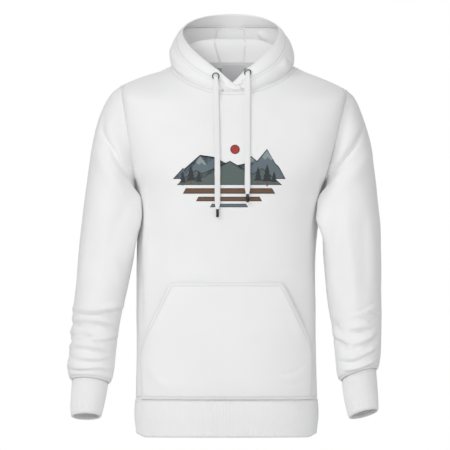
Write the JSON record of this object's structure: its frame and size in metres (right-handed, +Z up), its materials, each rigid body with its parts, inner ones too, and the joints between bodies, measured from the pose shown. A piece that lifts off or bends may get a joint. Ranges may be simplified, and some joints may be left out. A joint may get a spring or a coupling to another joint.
{
  "type": "hooded sweatshirt",
  "caption": "Pullover hooded sweatshirt in its worn shape, hood down, with a front pocket, a drawcord with eyelets, and sleeves that raise at the shoulders.",
  "frame": {"origin": "middle of the neck opening, where the wearer's neck and shoulders carry the garment", "axes": "+Z up, the wearer faces -Y, the wearer's left is +X"},
  "size_m": [0.6326, 0.3105, 0.8485],
  "materials": {
    "fleece": "brushed cotton fleece, white, matt, fine knit face",
    "rib": "ribbed cotton knit, white, matt",
    "twill_tape": "woven cotton twill tape, off-white",
    "satin_label": "plain grey satin, blank",
    "cord": "flat braided cotton cord, white",
    "gunmetal": "dark nickel plate, satin"
  },
  "bodies": {
    "torso": {"body_front": "fleece", "body_back": "fleece", "hem_rib": "rib", "kangaroo_pocket": "fleece", "hood_side_right": "fleece", "hood_side_left": "fleece", "hood_centre": "fleece", "hood_tunnel": "fleece", "neck_tape": "twill_tape", "neck_label": "satin_label", "eyelet_right": "gunmetal", "eyelet_left": "gunmetal", "drawcord_right": "cord", "drawcord_left": "cord", "aglet_right": "gunmetal", "aglet_left": "gunmetal"},
    "right_arm": {"sleeve_right": "fleece", "cuff_right": "rib"},
    "left_arm": {"sleeve_left": "fleece", "cuff_left": "rib"}
  },
  "joints": [
    {"name": "sleeve_right_raise", "type": "hinge", "parent": "torso", "child": "right_arm", "pos_m": [-0.217, 0, 0], "axis": [0, 1, 0], "range_deg": [0, 75]},
    {"name": "sleeve_left_raise", "type": "hinge", "parent": "torso", "child": "left_arm", "pos_m": [0.235, 0, -0.009], "axis": [0, -1, 0], "range_deg": [0, 75]}
  ]
}
